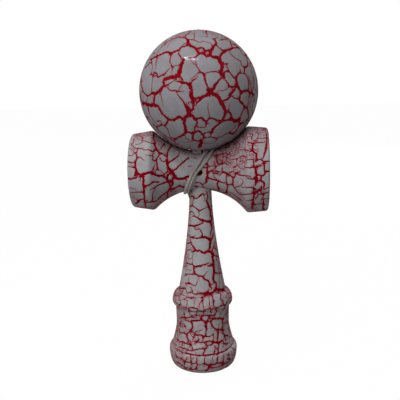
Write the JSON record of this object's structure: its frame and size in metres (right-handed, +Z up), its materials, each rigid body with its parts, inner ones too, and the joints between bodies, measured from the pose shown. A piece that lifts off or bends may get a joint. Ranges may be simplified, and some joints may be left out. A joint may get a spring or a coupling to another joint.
{
  "type": "kendama",
  "caption": "Kendama: a turned wooden handle with a spike and base cup, a cross-piece with a cup at each end, and a bored ball on a string, in crackle lacquer.",
  "frame": {"origin": "centre of the flat rim of the base cup, on the surface that the kendama stands on", "axes": "+Z up along the spike, +X along the cross-piece to the big cup, +Y to the back, where the string comes out"},
  "size_m": [0.0698, 0.0617, 0.1768],
  "materials": {
    "handle_lacquer": "pale grey crackle lacquer over a deep red coat, satin",
    "cross_lacquer": "pale grey crackle lacquer over a deep red coat, satin",
    "ball_lacquer": "pale grey crackle lacquer over a deep red coat, glossier than the handle",
    "bare_wood": "bare turned wood",
    "string": "plaited off-white cord"
  },
  "bodies": {
    "handle": {"ken": "handle_lacquer", "sarado": "cross_lacquer", "anchor_knot": "string", "string_winding": "string", "string_tail": "string"},
    "bead": {"bead": "bare_wood", "bead_knot": "string", "string_over": "string"},
    "ball": {"tama": "ball_lacquer"}
  },
  "joints": [
    {"name": "tama_lift", "type": "slide", "parent": "handle", "child": "bead", "axis": [0, 0, 1], "range_m": [0, 0.04], "deforming": ["string_tail"]},
    {"name": "tama_spin", "type": "hinge", "parent": "bead", "child": "ball", "pos_m": [0, 0, 0.14565], "axis": [0, 0, 1], "continuous": true}
  ]
}
